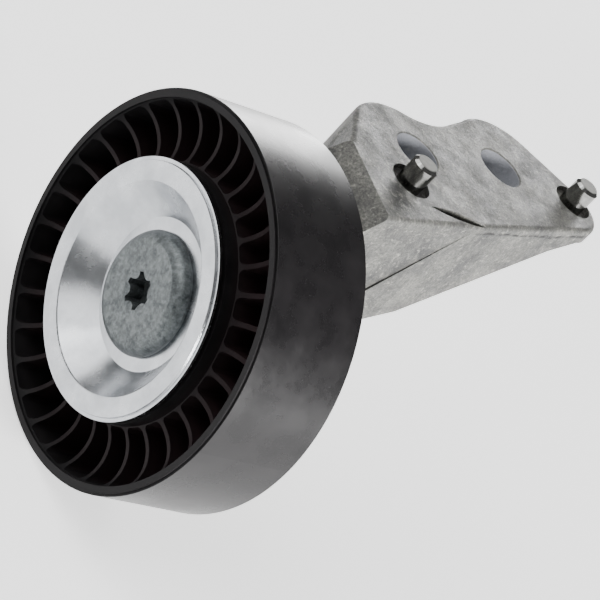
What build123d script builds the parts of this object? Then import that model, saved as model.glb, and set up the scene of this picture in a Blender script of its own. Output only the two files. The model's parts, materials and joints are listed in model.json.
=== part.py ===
from build123d import *
import math
import os

# Belt idler: a smooth 70 mm pulley on a sealed ball bearing, held by one Torx-head bolt
# to the boss of a die-cast bracket.
# Frame: the origin is on the pulley's axis, at the middle of its belt surface.
# +Y runs along the axis from the pulley's front to the bracket, and +Z is the outward normal
# of the bracket's mounting face, the way the two dowels point.  Millimetres.

# ---- pulley wheel -------------------------------------------------------------------------
PULLEY_R = 35.0
PULLEY_W = 20.4
RIM_INNER_R = 33.3
RIM_LIP_R = 34.5          # the front face steps back outside this radius
RIM_LIP_STEP = 0.4
HUB_R = 22.8
RIB_COUNT = 32
RIB_T = 0.85
RIB_PHASE = 3.9           # degrees from +X to the first rib
TROUGH_HUB_DEPTH = 2.9    # how far the ribs' edges lie behind the rim's face: at the hub,
TROUGH_MID_R = 26.4       # at their lowest,
TROUGH_MID_DEPTH = 4.35
TROUGH_RIM_DEPTH = 0.5    # and at the rim
HUB_RECESS = 0.3          # the hub's ends lie this far behind the rim's faces
HUB_LIP_R = 18.7          # lips that hold the bearing at both ends
HUB_LIP_W = 1.6
WEB_T = 2.5
POCKET_CORNER_R = 0.9
POCKET_LEDGE = 0.15       # left between a pocket and the hub or rim wall
FRONT_Y = -PULLEY_W / 2
REAR_Y = PULLEY_W / 2

# ---- bearing, size 6203 -------------------------------------------------------------------
BRG_OUTER_R = 20.0
BRG_BORE_R = 8.5
BRG_W = 12.0
BRG_FRONT_Y = FRONT_Y + 4.7
BRG_MID_Y = BRG_FRONT_Y + BRG_W / 2
BRG_REAR_Y = BRG_FRONT_Y + BRG_W
BALL_COUNT = 8
BALL_PHASE = 10.0         # degrees from +X to the first ball
BALL_R = 3.375
PITCH_R = 14.25
RACE_GAP = 0.06           # between a ball and each raceway
INNER_SHOULDER_R = 12.1
OUTER_SHOULDER_R = 16.4
SEAL_SEAT_R = 17.6
SEAL_SEAT_W = 1.5
SEAL_T = 1.0
SEAL_INSET = 0.9          # from the bearing's face to the seal's middle
SEAL_LIP_R = 12.25
CORE_T = 0.4
CORE_INNER_R = 13.2
CORE_OUTER_R = 17.1
CAGE_INNER_R = 12.9
CAGE_OUTER_R = 15.6
CAGE_T = 0.6
CAGE_POCKET_R = BALL_R + 0.1
RIVET_R = 0.55
RIVET_HEAD_R = 0.95
RIVET_HEAD_T = 0.35
RING_EDGE_R = 0.6

# ---- front dust cap, one sheet-steel pressing ---------------------------------------------
CAP_T = 1.0
CAP_BOTTOM_Y = BRG_FRONT_Y - CAP_T
CAP_FACE_Y = FRONT_Y - 1.5
CAP_EDGE_Y = FRONT_Y - 1.1
CAP_R = 22.75
CAP_FACE_R = 22.0
CAP_BEAD_R = 18.7
CAP_DISH_R = 13.4
CAP_HOLE_R = 5.3
CAP_WALL_BOW = (0.1, 0.08)     # how far the wall's middle bows out of a straight cone

# ---- bolt and spacer ----------------------------------------------------------------------
BOLT_R = 5.0
BOLT_LENGTH = 31.5
BOLT_HEAD_R = 11.0
BOLT_FACE_R = 8.9
BOLT_HEAD_H = 2.9
TORX_TIP_R = 3.33
TORX_ROOT_R = 2.43
TORX_FLUTE_R = 1.42
TORX_DEPTH = 3.4
TORX_LEAD_R = 3.6
TORX_LEAD_DEPTH = 0.35
TORX_TURN = 47.0
SLEEVE_BORE_R = 5.3
SLEEVE_SHOULDER_R = 11.6
BOSS_FACE_Y = FRONT_Y + 21.2

# ---- bracket casting ----------------------------------------------------------------------
MOUNT_Z = 36.0
PLATE_T = 12.0
FRONT_WALL_Y = FRONT_Y + 21.4
FRONT_WALL_T = 10.5
FRONT_WALL_X = -10.5            # the wall's edge away from the side wall
PLATE_FRONT_Y = FRONT_Y + 25.2
RAMP_FOOT_Z = 31.3
BOSS_R = 13.0
BOSS_LENGTH = 15.0
HOLE_R = 4.5
HOLE_CHAMFER = 0.3
HOLE_FRONT = (-13.3, 32.6)
HOLE_REAR = (-17.3, 56.4)
SPOTFACE_R = 9.0
SPOTFACE_DEPTH = 0.8
LOBE_FRONT = (-12.5, 30.3)     # centres and radii of the outline's two rounded lobes
LOBE_FRONT_R = 12.2
LOBE_REAR = (-19.0, 59.8)
LOBE_REAR_R = 12.0
SIDE_X_AT_0 = 13.4             # the straight side wall, x = SIDE_X_AT_0 - SIDE_SLOPE * y
SIDE_SLOPE = 0.272
GUSSET_T = 7.5
BACK_FRONT_Z = 5.0             # the slanted back's height behind the pulley,
BACK_BEND = (39.5, 13.0)       # the (y, z) where it steepens,
BACK_KNEE = (68.0, 30.2)       # where it flattens again,
BACK_TAIL = (74.5, 32.7)       # and where the flat underside of the tail begins
PARTING_Z_AT_0 = -9.64         # the mould's parting plane across the side wall
PARTING_SLOPE = 1.121
RIDGE = (7.1, 21.1)            # where the side wall's two upper facets meet
FACET_SLOPE = 0.17             # of the facet in front of the ridge
FACET_END_Y = 39.8
GROOVE_DEPTH = 1.4
MOUNT_EDGE_R = 1.0             # rounding of the mounting face's rim

# ---- dowels -------------------------------------------------------------------------------
DOWEL_R = 2.5
DOWEL_FRONT = (-4.2, 26.3)
DOWEL_REAR = (-14.4, 74.7)
DOWEL_STAND = 4.6
DOWEL_SUNK = 4.4
DOWEL_CHAMFER = 0.6
RECESS_R = 4.0
RECESS_DEPTH = 1.0
REAR_DOWEL_BOSS_R = 4.5
REAR_DOWEL_BOSS_Z = 30.4

BIG = 200.0                    # larger than the whole part, for cutting away a half-space


def side_x(y):
    return SIDE_X_AT_0 - SIDE_SLOPE * y


def plane_at(y):
    """A sketch plane across the pulley's axis, with its normal along +Y."""
    return Plane(origin=(0, y, 0), x_dir=(1, 0, 0), z_dir=(0, 1, 0))


def disc(radius, y0, y1):
    return extrude(plane_at(y0) * Circle(radius), y1 - y0)


def ring(outer_r, inner_r, y0, y1):
    return disc(outer_r, y0, y1) - disc(inner_r, y0, y1)


def turned(*edges):
    """The solid of revolution about Y of a closed profile, drawn as (radius, y)."""
    return revolve(make_face(Wire(edges)), Axis.Y)


def outline_solid(points, z0, z1):
    return extrude(Plane.XY.offset(z0) * make_face(Polyline(*points, close=True)), z1 - z0)


def around_axis(shape, count, phase=0.0):
    step = 360.0 / count
    return [shape.rotate(Axis.Y, -(phase + k * step)) for k in range(count)]


# ---- pulley wheel -------------------------------------------------------------------------
def pocket(y0, y1):
    """The hollow between two neighbouring ribs."""
    half_step = math.pi / RIB_COUNT
    half_rib = RIB_T / 2
    inner_r = HUB_R + POCKET_LEDGE
    outer_r = RIM_INNER_R - POCKET_LEDGE

    def corner(radius, side):
        angle = half_step - math.asin(half_rib / radius)
        return (radius * math.cos(angle), side * radius * math.sin(angle))

    face = make_face(
        [
            Line(corner(inner_r, -1), corner(outer_r, -1)),
            ThreePointArc(corner(outer_r, -1), (outer_r, 0), corner(outer_r, 1)),
            Line(corner(outer_r, 1), corner(inner_r, 1)),
            ThreePointArc(corner(inner_r, 1), (inner_r, 0), corner(inner_r, -1)),
        ]
    )
    face = fillet(face.vertices(), POCKET_CORNER_R)
    return extrude(plane_at(y0) * face, y1 - y0)


def wheel_blank():
    """The wheel with no pockets: its two faces dip to the line that the ribs' edges follow."""

    def half(side):
        face_y = side * PULLEY_W / 2
        lip_y = BRG_MID_Y + side * BRG_W / 2
        return [
            (BRG_OUTER_R, lip_y),
            (HUB_LIP_R, lip_y),
            (HUB_LIP_R, lip_y + side * HUB_LIP_W),
            (BRG_OUTER_R, lip_y + side * HUB_LIP_W),
            (BRG_OUTER_R, face_y - side * HUB_RECESS),
            (HUB_R, face_y - side * HUB_RECESS),
            (HUB_R, face_y - side * TROUGH_HUB_DEPTH),
            (TROUGH_MID_R, face_y - side * TROUGH_MID_DEPTH),
            (RIM_INNER_R, face_y - side * TROUGH_RIM_DEPTH),
            (RIM_INNER_R, face_y),
            (RIM_LIP_R, face_y),
            (RIM_LIP_R, face_y - side * RIM_LIP_STEP),
            (PULLEY_R, face_y - side * RIM_LIP_STEP),
        ]

    front = half(-1)
    rear = half(1)
    edges = [Line(rear[0], front[0])]
    for points in (front, rear):
        edges += [Line(a, b) for a, b in zip(points[:6], points[1:7])]
        edges.append(ThreePointArc(points[6], points[7], points[8]))
        edges += [Line(a, b) for a, b in zip(points[8:], points[9:])]
    edges.append(Line(front[-1], rear[-1]))
    return turned(*edges)


def pulley_wheel():
    web_front = BRG_MID_Y - WEB_T / 2
    web_rear = BRG_MID_Y + WEB_T / 2
    phase = RIB_PHASE + 180.0 / RIB_COUNT
    body = wheel_blank()
    for front_and_rear in zip(
        around_axis(pocket(FRONT_Y - 1, web_front), RIB_COUNT, phase),
        around_axis(pocket(web_rear, REAR_Y + 1), RIB_COUNT, phase),
    ):
        body -= front_and_rear
    return body


# ---- bearing ------------------------------------------------------------------------------
def race_groove():
    groove = Torus(PITCH_R, BALL_R + RACE_GAP).rotate(Axis.X, 90)
    return groove.moved(Location((0, BRG_MID_Y, 0)))


def bearing_outer_ring():
    body = ring(BRG_OUTER_R, OUTER_SHOULDER_R, BRG_FRONT_Y, BRG_REAR_Y)
    body -= disc(SEAL_SEAT_R, BRG_FRONT_Y, BRG_FRONT_Y + SEAL_SEAT_W)
    body -= disc(SEAL_SEAT_R, BRG_REAR_Y - SEAL_SEAT_W, BRG_REAR_Y)
    return body - race_groove()


def bearing_inner_ring():
    body = ring(INNER_SHOULDER_R, BRG_BORE_R, BRG_FRONT_Y, BRG_REAR_Y)
    edges = body.edges().filter_by(GeomType.CIRCLE).filter_by(lambda e: e.radius > BRG_BORE_R + 1)
    return chamfer(edges, RING_EDGE_R / 2) - race_groove()


def seal_and_core(mid_y):
    core = ring(CORE_OUTER_R, CORE_INNER_R, mid_y - CORE_T / 2, mid_y + CORE_T / 2)
    rubber = ring(SEAL_SEAT_R, SEAL_LIP_R, mid_y - SEAL_T / 2, mid_y + SEAL_T / 2)
    return rubber - core, core


def ball_centres():
    for k in range(BALL_COUNT):
        angle = math.radians(BALL_PHASE + 360.0 * k / BALL_COUNT)
        yield (PITCH_R * math.cos(angle), BRG_MID_Y, PITCH_R * math.sin(angle))


def rivet_centres():
    for k in range(BALL_COUNT):
        angle = math.radians(BALL_PHASE + 360.0 * (k + 0.5) / BALL_COUNT)
        yield (PITCH_R * math.cos(angle), BRG_MID_Y, PITCH_R * math.sin(angle))


def cage_rear_half():
    """One pressed half: a flat ring at the bearing's middle, bulged round each ball."""
    half_space = ring(CAGE_OUTER_R, CAGE_INNER_R, BRG_MID_Y, BRG_MID_Y + 2 * BALL_R)
    body = ring(CAGE_OUTER_R, CAGE_INNER_R, BRG_MID_Y, BRG_MID_Y + CAGE_T)
    for centre in ball_centres():
        bulge = Sphere(CAGE_POCKET_R + CAGE_T).moved(Location(centre))
        body += bulge & half_space
    for centre in ball_centres():
        body -= Sphere(CAGE_POCKET_R).moved(Location(centre))
    for x, _, z in rivet_centres():
        body -= disc(RIVET_R, BRG_MID_Y - 1, BRG_MID_Y + 1).moved(Location((x, 0, z)))
    return body


def cage_rivets():
    head_y = CAGE_T + RIVET_HEAD_T
    rivet = disc(RIVET_R, BRG_MID_Y - CAGE_T, BRG_MID_Y + CAGE_T)
    rivet += disc(RIVET_HEAD_R, BRG_MID_Y - head_y, BRG_MID_Y - CAGE_T)
    rivet += disc(RIVET_HEAD_R, BRG_MID_Y + CAGE_T, BRG_MID_Y + head_y)
    return Compound([rivet.moved(Location((x, 0, z))) for x, _, z in rivet_centres()])


# ---- cap, bolt and spacer -----------------------------------------------------------------
def dust_cap():
    bottom = (CAP_DISH_R, CAP_BOTTOM_Y)
    wall_mid = (
        (CAP_DISH_R + CAP_BEAD_R) / 2 + CAP_WALL_BOW[0],
        (CAP_BOTTOM_Y + CAP_FACE_Y) / 2 + CAP_WALL_BOW[1],
    )
    bead = (CAP_BEAD_R, CAP_FACE_Y)
    rear_bottom = (CAP_DISH_R + 0.5, CAP_BOTTOM_Y + CAP_T)
    rear_wall = (wall_mid[0] + 0.75, wall_mid[1] + 0.65)
    rear_bead = (CAP_BEAD_R + 0.35, CAP_FACE_Y + CAP_T)
    step = (CAP_FACE_R, CAP_FACE_Y)
    step_low = (CAP_FACE_R + 0.15, CAP_EDGE_Y)
    edge = (CAP_R, CAP_EDGE_Y)
    rear_edge = (CAP_R, CAP_FACE_Y + CAP_T)
    inner = (CAP_HOLE_R, CAP_BOTTOM_Y)
    rear_inner = (CAP_HOLE_R, CAP_BOTTOM_Y + CAP_T)
    body = turned(
        Line(inner, bottom),
        ThreePointArc(bottom, wall_mid, bead),
        Line(bead, step),
        Line(step, step_low),
        Line(step_low, edge),
        Line(edge, rear_edge),
        Line(rear_edge, rear_bead),
        ThreePointArc(rear_bead, rear_wall, rear_bottom),
        Line(rear_bottom, rear_inner),
        Line(rear_inner, inner),
    )
    bead_edges = body.edges().filter_by(GeomType.CIRCLE).filter_by(
        lambda e: abs(e.radius - CAP_BEAD_R) < 0.01
    )
    return fillet(bead_edges, 0.5)


def torx_recess(y0, depth):
    star = Circle(TORX_TIP_R)
    for k in range(6):
        flute = Location((0, 0, 0), (0, 0, 30 + 60 * k)) * Location((TORX_ROOT_R + TORX_FLUTE_R, 0))
        star -= flute * Circle(TORX_FLUTE_R)
    tool = extrude(plane_at(y0) * star, depth).rotate(Axis.Y, TORX_TURN)
    lead = turned(
        Line((0, y0), (TORX_LEAD_R, y0)),
        Line((TORX_LEAD_R, y0), (TORX_ROOT_R, y0 + TORX_LEAD_DEPTH)),
        Line((TORX_ROOT_R, y0 + TORX_LEAD_DEPTH), (0, y0 + TORX_LEAD_DEPTH)),
        Line((0, y0 + TORX_LEAD_DEPTH), (0, y0)),
    )
    return tool + lead


def pulley_bolt():
    seat_y = CAP_BOTTOM_Y
    top_y = seat_y - BOLT_HEAD_H
    edge_y = seat_y - 0.7
    shoulder = (BOLT_FACE_R + 1.25, top_y + 0.75)
    tip_y = seat_y + BOLT_LENGTH
    tip_chamfer = 1.0
    body = turned(
        Line((0, top_y), (BOLT_FACE_R, top_y)),
        ThreePointArc((BOLT_FACE_R, top_y), shoulder, (BOLT_HEAD_R, edge_y)),
        Line((BOLT_HEAD_R, edge_y), (BOLT_HEAD_R - 0.2, seat_y)),
        Line((BOLT_HEAD_R - 0.2, seat_y), (BOLT_R, seat_y)),
        Line((BOLT_R, seat_y), (BOLT_R, tip_y - tip_chamfer)),
        Line((BOLT_R, tip_y - tip_chamfer), (BOLT_R - tip_chamfer, tip_y)),
        Line((BOLT_R - tip_chamfer, tip_y), (0, tip_y)),
        Line((0, tip_y), (0, top_y)),
    )
    return body - torx_recess(top_y, TORX_DEPTH)


def spacer_sleeve():
    tube = disc(BRG_BORE_R, BRG_FRONT_Y + 0.2, BRG_REAR_Y)
    shoulder = disc(SLEEVE_SHOULDER_R, BRG_REAR_Y, BOSS_FACE_Y)
    return tube + shoulder - disc(SLEEVE_BORE_R, BRG_FRONT_Y, BOSS_FACE_Y)


# ---- bracket ------------------------------------------------------------------------------
def on_circle(centre, radius, degrees):
    angle = math.radians(degrees)
    return (centre[0] + radius * math.cos(angle), centre[1] + radius * math.sin(angle))


def plate_outline(side_points):
    """The mounting plate seen from above; side_points run along its straight side, rear to front."""
    front_corner = (FRONT_WALL_X, FRONT_WALL_Y)
    wall_end = (FRONT_WALL_X, PLATE_FRONT_Y)
    lobe1_in = on_circle(LOBE_FRONT, LOBE_FRONT_R, 249)
    lobe1_mid = on_circle(LOBE_FRONT, LOBE_FRONT_R, 205)
    lobe1_out = on_circle(LOBE_FRONT, LOBE_FRONT_R, 161)
    waist = (-23.4, 40.4)
    waist_end = (-25.7, 47.3)
    lobe2_in = on_circle(LOBE_REAR, LOBE_REAR_R, 218.5)
    lobe2_mid = on_circle(LOBE_REAR, LOBE_REAR_R, 175)
    lobe2_out = on_circle(LOBE_REAR, LOBE_REAR_R, 131)
    tail_in = (-18.8, 76.8)
    tail_mid = (-13.4, 79.7)
    tail_out = (side_x(75.3), 75.3)
    side = [tail_out] + side_points
    return make_face(
        [
            Line(side_points[-1], front_corner),
            Line(front_corner, wall_end),
            Line(wall_end, lobe1_in),
            ThreePointArc(lobe1_in, lobe1_mid, lobe1_out),
            ThreePointArc(lobe1_out, waist, waist_end),
            Line(waist_end, lobe2_in),
            ThreePointArc(lobe2_in, lobe2_mid, lobe2_out),
            Line(lobe2_out, tail_in),
            ThreePointArc(tail_in, tail_mid, tail_out),
        ]
        + [Line(start, end) for start, end in zip(side, side[1:])]
    )


def facet_x(y):
    """The side wall's upper facet in front of the ridge."""
    return RIDGE[0] + (RIDGE[1] - y) * FACET_SLOPE


def mounting_plate():
    """The plate with its rim rounded, and its full-width foot below the parting plane."""
    facets = [(side_x(FACET_END_Y), FACET_END_Y), RIDGE, (facet_x(FRONT_WALL_Y), FRONT_WALL_Y)]
    floor = Plane.XY.offset(MOUNT_Z - PLATE_T)
    upper = extrude(floor * plate_outline(facets), PLATE_T)
    rim = upper.faces().sort_by(Axis.Z)[-1].outer_wire().edges()
    upper = fillet([e for e in rim if e.center().Y > FRONT_WALL_Y + 0.01], MOUNT_EDGE_R)
    wall = plate_outline([(side_x(FRONT_WALL_Y), FRONT_WALL_Y)])
    return upper + (extrude(floor * wall, PLATE_T - MOUNT_EDGE_R) - above_parting())


def gusset():
    rear_y = 76.0
    return outline_solid(
        [
            (side_x(FRONT_WALL_Y), FRONT_WALL_Y),
            (side_x(rear_y), rear_y),
            (side_x(rear_y) - GUSSET_T, rear_y),
            (side_x(FRONT_WALL_Y) - GUSSET_T, FRONT_WALL_Y),
        ],
        0,
        MOUNT_Z - PLATE_T + 1,
    )


def front_wall():
    """The wall behind the pulley, which carries the boss up to the mounting plate."""
    profile = [
        (FRONT_WALL_X, MOUNT_Z - PLATE_T + 1),
        (4.0, MOUNT_Z - PLATE_T + 1),
        (4.0, 0),
        (-BOSS_R + 2, 0),
        (FRONT_WALL_X - 1, 14.0),
    ]
    sketch = make_face(Polyline(*[(x, -z) for x, z in profile], close=True))
    return extrude(plane_at(FRONT_WALL_Y) * sketch, FRONT_WALL_T)


def below_back():
    """Everything behind the casting's slanted back, away from the mounting face."""
    profile = [
        (0, BACK_FRONT_Z),
        (FRONT_WALL_Y, BACK_FRONT_Z),
        BACK_BEND,
        BACK_KNEE,
        BACK_TAIL,
        (BIG, BACK_TAIL[1]),
        (BIG, -BIG),
        (0, -BIG),
    ]
    sketch = Plane.YZ * make_face(Polyline(*profile, close=True))
    return extrude(sketch, BIG / 2, both=True)


def ramp_cut():
    profile = [
        (PLATE_FRONT_Y, MOUNT_Z),
        (PLATE_FRONT_Y, MOUNT_Z + 1),
        (FRONT_WALL_Y - 1, MOUNT_Z + 1),
        (FRONT_WALL_Y - 1, RAMP_FOOT_Z),
        (FRONT_WALL_Y, RAMP_FOOT_Z),
    ]
    return extrude(Plane.YZ * make_face(Polyline(*profile, close=True)), BIG / 2, both=True)


def above_parting():
    """The half-space above the mould's parting plane."""
    profile = [
        (0, PARTING_Z_AT_0),
        (BIG, PARTING_Z_AT_0 + BIG * PARTING_SLOPE),
        (0, PARTING_Z_AT_0 + BIG * PARTING_SLOPE),
    ]
    return extrude(Plane.YZ * make_face(Polyline(*profile, close=True)), BIG / 2, both=True)


def facet_cut():
    """Thins the side wall above the parting plane, leaving two facets that meet at a ridge."""
    front_y = FRONT_WALL_Y - 1
    outside = side_x(front_y) + 5
    sides = outline_solid(
        [RIDGE, (side_x(FACET_END_Y), FACET_END_Y), (outside, front_y), (facet_x(front_y), front_y)],
        0,
        MOUNT_Z + 1,
    )
    return sides & above_parting()


def edge_groove():
    """A short tapered groove in the mounting face, beside the side wall's upper facets."""
    inner = ThreePointArc((1.1, 28.6), (0.5, 34.5), (1.6, 42.4))
    outer = ThreePointArc((1.6, 42.4), (2.4, 34.5), (1.1, 28.6))
    return extrude(Plane.XY.offset(MOUNT_Z - GROOVE_DEPTH) * make_face([inner, outer]), BIG)


def upright(centre, radius, z0, z1):
    return extrude(Plane.XY.offset(z0) * Pos(*centre) * Circle(radius), z1 - z0)


def bolt_hole(centre):
    seat_z = MOUNT_Z - PLATE_T + SPOTFACE_DEPTH
    tool = upright(centre, HOLE_R, 0, MOUNT_Z + 1) + upright(centre, SPOTFACE_R, BOSS_R + 1, seat_z)
    mouth = Cone(HOLE_R, HOLE_R + 2 * HOLE_CHAMFER, 2 * HOLE_CHAMFER)
    return tool + mouth.moved(Location((centre[0], centre[1], MOUNT_Z)))


def dowel_seat(centre):
    sunk = upright(centre, DOWEL_R, MOUNT_Z - RECESS_DEPTH - DOWEL_SUNK, MOUNT_Z + 1)
    return sunk + upright(centre, RECESS_R, MOUNT_Z - RECESS_DEPTH, MOUNT_Z + 1)


def bracket():
    body = gusset() - facet_cut() + front_wall()
    body = body + mounting_plate() - ramp_cut() - below_back() - edge_groove()
    body += disc(BOSS_R, BOSS_FACE_Y, BOSS_FACE_Y + BOSS_LENGTH)
    body += upright(DOWEL_REAR, REAR_DOWEL_BOSS_R, REAR_DOWEL_BOSS_Z, MOUNT_Z - 2)
    body -= bolt_hole(HOLE_FRONT)
    body -= bolt_hole(HOLE_REAR)
    body -= dowel_seat(DOWEL_FRONT)
    body -= dowel_seat(DOWEL_REAR)
    return body - disc(BOLT_R, BOSS_FACE_Y - 1, BOSS_FACE_Y + BOSS_LENGTH + 1)


def dowel(centre):
    foot_z = MOUNT_Z - RECESS_DEPTH - DOWEL_SUNK
    pin = upright(centre, DOWEL_R, foot_z, MOUNT_Z + DOWEL_STAND)
    tip = pin.edges().filter_by(GeomType.CIRCLE).sort_by(Axis.Z)[-1]
    return chamfer(tip, DOWEL_CHAMFER)


def main():
    os.makedirs("parts", exist_ok=True)
    front_seal, front_core = seal_and_core(BRG_FRONT_Y + SEAL_INSET)
    rear_seal, rear_core = seal_and_core(BRG_REAR_Y - SEAL_INSET)
    rear_cage = cage_rear_half()
    parts = {
        "bracket": bracket(),
        "front_dowel": dowel(DOWEL_FRONT),
        "rear_dowel": dowel(DOWEL_REAR),
        "pulley_bolt": pulley_bolt(),
        "spacer_sleeve": spacer_sleeve(),
        "front_dust_cap": dust_cap(),
        "bearing_inner_ring": bearing_inner_ring(),
        "pulley_wheel": pulley_wheel(),
        "bearing_outer_ring": bearing_outer_ring(),
        "front_seal": front_seal,
        "front_seal_core": front_core,
        "rear_seal": rear_seal,
        "rear_seal_core": rear_core,
        "cage_rear_half": rear_cage,
        "cage_front_half": mirror(rear_cage, about=plane_at(BRG_MID_Y)),
        "cage_rivets": cage_rivets(),
    }
    for number, centre in enumerate(ball_centres(), start=1):
        parts[f"ball_{number}"] = Sphere(BALL_R).moved(Location(centre))
    for name, shape in parts.items():
        export_step(shape, f"parts/{name}.step")


main()
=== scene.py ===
"""The belt idler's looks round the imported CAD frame: procedural materials, floor, lights and camera."""

import json

import bpy
from mathutils import Matrix, Vector


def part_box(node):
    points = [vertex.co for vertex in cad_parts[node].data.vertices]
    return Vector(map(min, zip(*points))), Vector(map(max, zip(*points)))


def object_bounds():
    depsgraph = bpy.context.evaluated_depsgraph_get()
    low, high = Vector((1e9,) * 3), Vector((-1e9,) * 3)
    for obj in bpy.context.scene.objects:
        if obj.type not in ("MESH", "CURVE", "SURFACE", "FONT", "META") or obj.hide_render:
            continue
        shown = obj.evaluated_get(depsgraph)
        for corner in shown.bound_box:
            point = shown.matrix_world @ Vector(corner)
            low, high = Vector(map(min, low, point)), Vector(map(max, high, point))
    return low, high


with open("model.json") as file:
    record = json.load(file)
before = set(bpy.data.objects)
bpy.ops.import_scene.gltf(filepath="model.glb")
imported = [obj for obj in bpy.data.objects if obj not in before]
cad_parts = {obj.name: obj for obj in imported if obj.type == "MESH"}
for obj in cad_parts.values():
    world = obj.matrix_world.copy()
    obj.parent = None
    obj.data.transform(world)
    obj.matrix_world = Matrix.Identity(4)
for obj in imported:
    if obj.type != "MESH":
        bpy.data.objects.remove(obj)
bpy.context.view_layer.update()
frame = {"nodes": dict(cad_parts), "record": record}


SIDE_X_AT_0 = 0.0134      # the bracket's straight side wall, x = SIDE_X_AT_0 - SIDE_SLOPE * y
SIDE_SLOPE = 0.272
SIDE_SKIN = 0.0003        # a point this far inside that wall's plane still counts as on it
FLASH_Z = 0.0341          # the mould's flash along that wall
FLASH_WANDER = 0.0004     # how far it strays up and down
FLASH_CORE = 0.00010      # half the height of its dark middle
FLASH_REACH = 0.00042     # where it has faded out
FLASH_FROM_Y = 0.040      # it fades in between these two places along the wall
FLASH_FULL_Y = 0.043
BORE_SKIN = 0.00004       # a bore's paler colour, partly painted light, reaches this far past its wall ...
BORE_SKIN_END = 0.00010   # ... and has ended here
BORE_TINT = 0.75          # how much of the bores' paler colour (their machined finish and painted light) covers the cast skin
CUT_START = 0.00012       # a dowel's dull end starts this far below its tip ...
CUT_FULL = 0.00004        # ... and is complete here
TINT_EDGE = 0.0018        # the pocket tint starts this far in from the belt surface, past the rim's wall
TINT_FULL = 0.0024        # ... and is complete here
POCKET_START = 0.0012     # the pocket tint starts this far in from the wheel's faces ...
POCKET_FADE = 0.0045      # ... and is complete this much deeper
BELT_SKIN = 0.00006       # points this near the belt surface have its polish ...
BELT_SKIN_START = 0.00012  # ... fading in from here
MIX_FIRST, MIX_SECOND, MIX_RESULT = 6, 7, 2     # the colour sockets of a Mix node
FLOOR_GLOW = 0.9          # a lit white sweep, so the floor stays pale under the object


# ---- small helpers for building node materials --------------------------------------------
class Shader:
    """A Principled material with helpers for the few nodes that every finish here is made of."""

    def __init__(self, name):
        self.material = bpy.data.materials.new(name)
        self.material.use_nodes = True
        self.nodes = self.material.node_tree.nodes
        self.links = self.material.node_tree.links
        self.bsdf = self.nodes["Principled BSDF"]
        self.coords = self.nodes.new("ShaderNodeTexCoord").outputs["Object"]

    def set(self, **values):
        for key, value in values.items():
            self.bsdf.inputs[key.replace("_", " ")].default_value = value

    def join(self, source, socket):
        self.links.new(source, self.bsdf.inputs[socket])

    def noise(self, scale, detail=4.0, rough=0.55, coords=None, distortion=0.0):
        node = self.nodes.new("ShaderNodeTexNoise")
        node.inputs["Scale"].default_value = scale
        node.inputs["Detail"].default_value = detail
        node.inputs["Roughness"].default_value = rough
        node.inputs["Distortion"].default_value = distortion
        self.links.new(coords or self.coords, node.inputs["Vector"])
        return node.outputs["Fac"]

    def position(self):
        split = self.nodes.new("ShaderNodeSeparateXYZ")
        self.links.new(self.coords, split.inputs["Vector"])
        return split.outputs["X"], split.outputs["Y"], split.outputs["Z"]

    def distance_from(self, x, y, centre_x, centre_y):
        """Distance of the point (x, y) from a fixed centre."""
        dx = self.math("SUBTRACT", x, centre_x)
        dy = self.math("SUBTRACT", y, centre_y)
        squares = self.math("ADD", self.math("MULTIPLY", dx, dx), self.math("MULTIPLY", dy, dy))
        return self.math("SQRT", squares, 0.0)

    def remap(self, value, from_low, from_high, to_low, to_high):
        node = self.nodes.new("ShaderNodeMapRange")
        self.links.new(value, node.inputs["Value"])
        for key, number in zip(
            ("From Min", "From Max", "To Min", "To Max"), (from_low, from_high, to_low, to_high)
        ):
            node.inputs[key].default_value = number
        return node.outputs["Result"]

    def math(self, operation, a, b):
        node = self.nodes.new("ShaderNodeMath")
        node.operation = operation
        for socket, value in zip(node.inputs, (a, b)):
            if isinstance(value, (int, float)):
                socket.default_value = value
            else:
                self.links.new(value, socket)
        return node.outputs["Value"]

    def blend(self, factor, first, second):
        node = self.nodes.new("ShaderNodeMix")
        node.data_type = "RGBA"
        self.links.new(factor, node.inputs["Factor"])
        for number, value in ((MIX_FIRST, first), (MIX_SECOND, second)):
            socket = node.inputs[number]
            if isinstance(value, tuple):
                socket.default_value = (*value, 1.0)
            else:
                self.links.new(value, socket)
        return node.outputs[MIX_RESULT]

    def mottle(self, value, low, high, first, second):
        """A blend from first to second as value goes from low to high."""
        return self.blend(self.remap(value, low, high, 0.0, 1.0), first, second)

    def bump(self, height, strength, distance, under=None):
        node = self.nodes.new("ShaderNodeBump")
        node.inputs["Strength"].default_value = strength
        node.inputs["Distance"].default_value = distance
        self.links.new(height, node.inputs["Height"])
        if under is not None:
            self.links.new(under, node.inputs["Normal"])
        return node.outputs["Normal"]

    def polar(self, along=1.0):
        """The radius about the pulley's axis, and a vector of radius, scaled angle and depth."""
        x, y, z = self.position()
        radius = self.distance_from(x, z, 0.0, 0.0)
        angle = self.math("ARCTAN2", z, x)
        joined = self.nodes.new("ShaderNodeCombineXYZ")
        self.links.new(radius, joined.inputs["X"])
        self.links.new(self.math("MULTIPLY", angle, along), joined.inputs["Y"])
        self.links.new(y, joined.inputs["Z"])
        return radius, joined.outputs["Vector"]


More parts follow.
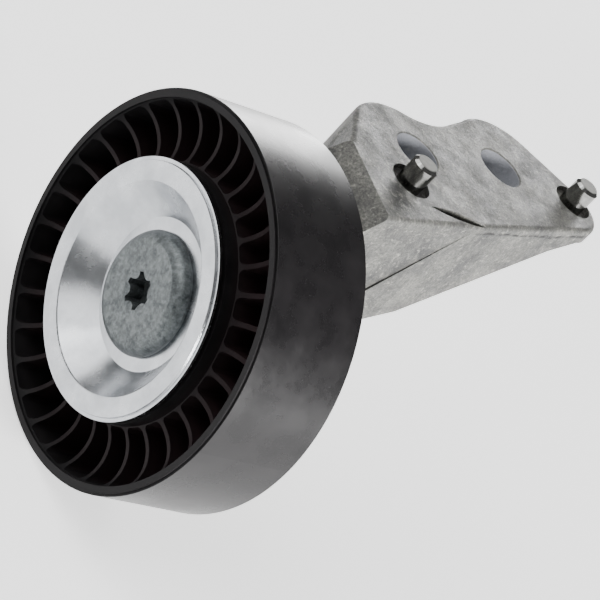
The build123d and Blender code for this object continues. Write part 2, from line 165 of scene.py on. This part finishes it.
def cast_aluminium():
    """Die-cast skin: grey blotches, pale flow marks, fine grain, bores paler from their machined finish
    and from painted light, and flash at the parting darkened with painted shade.
    """
    dark_skin, pale_skin = (0.060, 0.060, 0.059), (0.170, 0.168, 0.152)
    flow_mark, pit = (0.37, 0.362, 0.322), (0.026, 0.026, 0.027)
    # the bores' colour is partly painted light, and the flash's near-black colour is painted shade
    bore_finish_and_painted_light, flash_painted_shade = (0.27, 0.28, 0.31), (0.018, 0.018, 0.018)
    s = Shader("cast_aluminium")
    s.set(Metallic=0.30, Specular_IOR_Level=0.30)
    x, y, z = s.position()
    blotch = s.noise(120.0, 7.0, 0.72)
    marks = s.noise(760.0, 8.0, 0.80, distortion=0.35)
    speckle = s.noise(2100.0, 3.0, 0.75)
    colour = s.mottle(blotch, 0.38, 0.62, dark_skin, pale_skin)
    colour = s.blend(s.remap(marks, 0.54, 0.62, 0.0, 0.66), colour, flow_mark)
    colour = s.blend(s.remap(speckle, 0.38, 0.60, 0.62, 0.0), colour, pit)
    # the drilled bores get a paler blue-grey: partly their cleaner machined finish, partly painted light
    # that lifts the shade inside them
    for mount in frame["record"]["mounts"]:
        if mount["kind"] == "bore":
            centre_x, centre_y, _ = mount["pos_m"]
            away = s.distance_from(x, y, centre_x, centre_y)
            bore_r = mount["dims"]["r_mm"] / 1000
            inside = s.remap(away, bore_r + BORE_SKIN, bore_r + BORE_SKIN_END, BORE_TINT, 0.0)
            colour = s.blend(inside, colour, bore_finish_and_painted_light)
    # the flash: a broken ridge along the side wall, just under the mounting face's rim, raised by the
    # bump; its near-black colour is painted shade along the ridge
    side = s.math("ADD", x, s.math("MULTIPLY", y, SIDE_SLOPE))
    on_side = s.math("GREATER_THAN", side, SIDE_X_AT_0 - SIDE_SKIN)
    wander = s.remap(s.noise(160.0, 3.0), 0.3, 0.7, -FLASH_WANDER, FLASH_WANDER)
    off = s.math("ABSOLUTE", s.math("SUBTRACT", s.math("ADD", z, wander), FLASH_Z), 0.0)
    broken = s.remap(s.noise(520.0, 3.0), 0.40, 0.54, 0.0, 1.0)
    near = s.remap(off, FLASH_CORE, FLASH_REACH, 1.0, 0.0)
    line = s.math("MULTIPLY", near, s.math("MULTIPLY", on_side, broken))
    line = s.math("MULTIPLY", line, s.remap(y, FLASH_FROM_Y, FLASH_FULL_Y, 0.0, 1.0))
    # painted shade: the flash line is coloured near-black where the ridge's shade falls
    colour = s.blend(line, colour, flash_painted_shade)
    s.join(colour, "Base Color")
    s.join(s.remap(s.noise(260.0, 4.0), 0.3, 0.7, 0.40, 0.62), "Roughness")
    skin = s.bump(marks, 0.70, 0.0003)
    grain = s.bump(speckle, 0.45, 0.00012, skin)
    s.join(s.bump(line, 0.6, 0.0003, grain), "Normal")
    return s.material


def dowel_steel():
    """Ground and polished sides, with a duller cut end."""
    s = Shader("dowel_steel")
    s.set(Metallic=1.0)
    end_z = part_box("front_dowel")[1].z
    _, _, z = s.position()
    end = s.remap(z, end_z - CUT_START, end_z - CUT_FULL, 0.0, 1.0)
    rub = s.noise(700.0, 4.0, 0.6)
    side = s.mottle(rub, 0.35, 0.7, (0.21, 0.21, 0.205), (0.34, 0.34, 0.325))
    cut = s.mottle(rub, 0.35, 0.7, (0.10, 0.10, 0.092), (0.18, 0.18, 0.165))
    s.join(s.blend(end, side, cut), "Base Color")
    polish = s.remap(rub, 0.3, 0.7, 0.09, 0.17)
    s.join(s.math("ADD", polish, s.math("MULTIPLY", end, 0.42)), "Roughness")
    s.join(s.bump(s.noise(2600.0, 2.0), 0.10, 0.00004), "Normal")
    return s.material


def bolt_steel():
    """Blotchy grey coat over a forged head, with faint turning marks."""
    s = Shader("bolt_steel")
    s.set(Metallic=0.7)
    _, turned = s.polar(0.004)
    blotch = s.noise(700.0, 6.0, 0.66)
    fleck = s.noise(1300.0, 4.0, 0.7)
    colour = s.mottle(blotch, 0.36, 0.66, (0.042, 0.048, 0.050), (0.120, 0.132, 0.134))
    colour = s.blend(s.remap(fleck, 0.45, 0.75, 0.0, 0.4), colour, (0.30, 0.33, 0.34))
    s.join(colour, "Base Color")
    s.join(s.remap(blotch, 0.3, 0.7, 0.30, 0.52), "Roughness")
    rings = s.bump(s.noise(2600.0, 2.0, 0.5, turned), 0.10, 0.00005)
    s.join(s.bump(s.noise(600.0, 5.0, 0.6), 0.3, 0.00015, rings), "Normal")
    return s.material


def zinc_plate():
    """Bright zinc over drawn sheet, with fine rings and faint clouding."""
    s = Shader("zinc_plate")
    s.set(Metallic=1.0)
    _, turned = s.polar(0.0035)
    cloud = s.noise(190.0, 4.0, 0.6)
    rings = s.noise(2400.0, 3.0, 0.6, turned)
    s.join(s.mottle(cloud, 0.35, 0.7, (0.40, 0.415, 0.435), (0.55, 0.565, 0.585)), "Base Color")
    s.join(s.remap(cloud, 0.3, 0.7, 0.20, 0.30), "Roughness")
    s.join(s.bump(rings, 0.10, 0.00004, s.bump(s.noise(300.0, 2.0), 0.06, 0.0002)), "Normal")
    return s.material


def bright_steel(name, low, high, rough_low, rough_high):
    """Ground or rolled steel: rings round the axis and a slight cloud of oil."""
    s = Shader(name)
    s.set(Metallic=1.0)
    _, turned = s.polar(0.003)
    cloud = s.noise(240.0, 4.0, 0.55)
    s.join(s.mottle(cloud, 0.35, 0.68, low, high), "Base Color")
    s.join(s.remap(cloud, 0.3, 0.7, rough_low, rough_high), "Roughness")
    s.join(s.bump(s.noise(2800.0, 2.0, 0.5, turned), 0.12, 0.00003), "Normal")
    return s.material


def black_plastic():
    """Glass-filled moulding: rubbed belt surface with fine rings, moulded faces, browner deep pockets."""
    s = Shader("black_plastic")
    radius, turned = s.polar(0.012)
    _, y, _ = s.position()
    rub = s.noise(120.0, 5.0, 0.6)
    fine = s.noise(1700.0, 3.0, 0.6)
    colour = s.mottle(rub, 0.35, 0.7, (0.0048, 0.0044, 0.0048), (0.0105, 0.0096, 0.0102))
    box_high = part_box("pulley_wheel")[1]
    face_y = box_high.y - POCKET_START
    depth = s.remap(s.math("ABSOLUTE", y, 0.0), face_y, face_y - POCKET_FADE, 0.0, 1.0)
    in_pocket = s.remap(radius, box_high.x - TINT_FULL, box_high.x - TINT_EDGE, 1.0, 0.0)
    colour = s.blend(s.math("MULTIPLY", depth, in_pocket), colour, (0.013, 0.0070, 0.0078))
    s.join(colour, "Base Color")
    belt = s.remap(radius, box_high.x - BELT_SKIN_START, box_high.x - BELT_SKIN, 0.0, 1.0)
    s.join(s.remap(belt, 0.0, 1.0, 0.11, 0.30), "Specular IOR Level")
    moulded = s.math("MULTIPLY", s.math("SUBTRACT", 1.0, belt), 0.28)
    s.join(s.math("ADD", s.remap(rub, 0.3, 0.72, 0.23, 0.34), moulded), "Roughness")
    rings = s.bump(s.noise(1500.0, 2.0, 0.5, turned), 0.05, 0.00004)
    s.join(s.bump(fine, 0.10, 0.00005, rings), "Normal")
    return s.material


def seal_rubber():
    """Matte moulded rubber with a little dust on it."""
    s = Shader("seal_rubber")
    s.set(Specular_IOR_Level=0.4)
    dust = s.noise(420.0, 5.0, 0.6)
    s.join(s.mottle(dust, 0.4, 0.75, (0.020, 0.013, 0.012), (0.045, 0.034, 0.031)), "Base Color")
    s.join(s.remap(dust, 0.3, 0.7, 0.5, 0.68), "Roughness")
    s.join(s.bump(s.noise(1800.0, 3.0), 0.2, 0.00006), "Normal")
    return s.material


def floor_material():
    """An evenly pale sweep that glows a little."""
    s = Shader("pale_floor")
    s.set(Roughness=0.85, Specular_IOR_Level=0.15)
    s.set(Emission_Color=(1.0, 1.0, 1.0, 1.0), Emission_Strength=FLOOR_GLOW)
    tone = s.noise(6.0, 2.0)
    s.join(s.blend(tone, (0.93, 0.93, 0.93), (0.96, 0.96, 0.96)), "Base Color")
    return s.material


finishes = {
    "cast_aluminium": cast_aluminium(),
    "dowel_steel": dowel_steel(),
    "bolt_steel": bolt_steel(),
    "sleeve_steel": bright_steel("sleeve_steel", (0.36, 0.36, 0.35), (0.52, 0.52, 0.50), 0.28, 0.42),
    "zinc_plate": zinc_plate(),
    "bearing_steel": bright_steel("bearing_steel", (0.52, 0.52, 0.52), (0.68, 0.68, 0.68), 0.14, 0.26),
    "ball_steel": bright_steel("ball_steel", (0.68, 0.68, 0.68), (0.80, 0.80, 0.80), 0.05, 0.12),
    "sheet_steel": bright_steel("sheet_steel", (0.42, 0.42, 0.41), (0.60, 0.60, 0.58), 0.24, 0.38),
    "black_plastic": black_plastic(),
    "seal_rubber": seal_rubber(),
}

slot_of = {part["node"]: part["material_slot"] for part in frame["record"]["subparts"]}
for node, thing in frame["nodes"].items():
    finish = finishes[slot_of[node]]
    if not thing.material_slots:
        thing.data.materials.append(finish)
    for material_slot in thing.material_slots:
        material_slot.material = finish


# ---- floor ---------------------------------------------------------------------------------
FLOOR_SIZE = 6.0
FLOOR_GAP = 0.0002
low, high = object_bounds()
bpy.ops.mesh.primitive_plane_add(size=FLOOR_SIZE, location=(0, 0, low.z - FLOOR_GAP))
floor = bpy.context.object
floor.name = "floor"
floor.data.materials.append(floor_material())


# ---- light ---------------------------------------------------------------------------------
def soft_box(name, direction, distance, size, power):
    """A square area light aimed at the object's middle from the given direction."""
    middle = (low + high) / 2
    direction = Vector(direction).normalized()
    data = bpy.data.lights.new(name, "AREA")
    data.size = size
    data.energy = power
    light = bpy.data.objects.new(name, data)
    light.location = middle + direction * distance
    light.rotation_mode = "QUATERNION"
    light.rotation_quaternion = direction.to_track_quat("Z", "Y")
    bpy.context.scene.collection.objects.link(light)


soft_box("key", (0.97, 0.22, 0.13), distance=1.0, size=0.45, power=40.0)
soft_box("overhead", (0.0, 0.15, 1.0), distance=1.3, size=1.0, power=1.0)
soft_box("rear_left", (-0.68, 0.66, 0.16), distance=0.9, size=0.42, power=8.0)
soft_box("front_top", (-0.03, -0.67, 0.74), distance=0.9, size=0.70, power=4.0)
soft_box("front_left", (-0.55, -0.46, 0.66), distance=0.9, size=0.70, power=5.0)

WORLD_STRENGTH = 0.20
world = bpy.data.worlds.new("studio")
world.use_nodes = True
background = world.node_tree.nodes["Background"]
background.inputs["Color"].default_value = (1.0, 1.0, 1.0, 1.0)
background.inputs["Strength"].default_value = WORLD_STRENGTH
bpy.context.scene.world = world


# ---- camera --------------------------------------------------------------------------------
CAMERA_RIGHT = Vector((0.3261, 0.7211, 0.6112))
CAMERA_UP = Vector((-0.7446, -0.2024, 0.6361))
CAMERA_BACK = Vector((0.5824, -0.6626, 0.4710))
CAMERA_PLACE = Vector((0.2672, -0.2819, 0.2236))
CAMERA_LENS_MM = 157.95
CAMERA_SENSOR_MM = 36.0
CAMERA_NEAR, CAMERA_FAR = 0.01, 20.0
camera_data = bpy.data.cameras.new("camera")
camera_data.sensor_width = CAMERA_SENSOR_MM
camera_data.lens = CAMERA_LENS_MM
camera_data.clip_start = CAMERA_NEAR
camera_data.clip_end = CAMERA_FAR
camera = bpy.data.objects.new("camera", camera_data)
turn = Matrix((CAMERA_RIGHT, CAMERA_UP, CAMERA_BACK)).transposed()
camera.rotation_mode = "QUATERNION"
camera.rotation_quaternion = turn.to_quaternion()
camera.location = CAMERA_PLACE
bpy.context.scene.collection.objects.link(camera)
bpy.context.scene.camera = camera
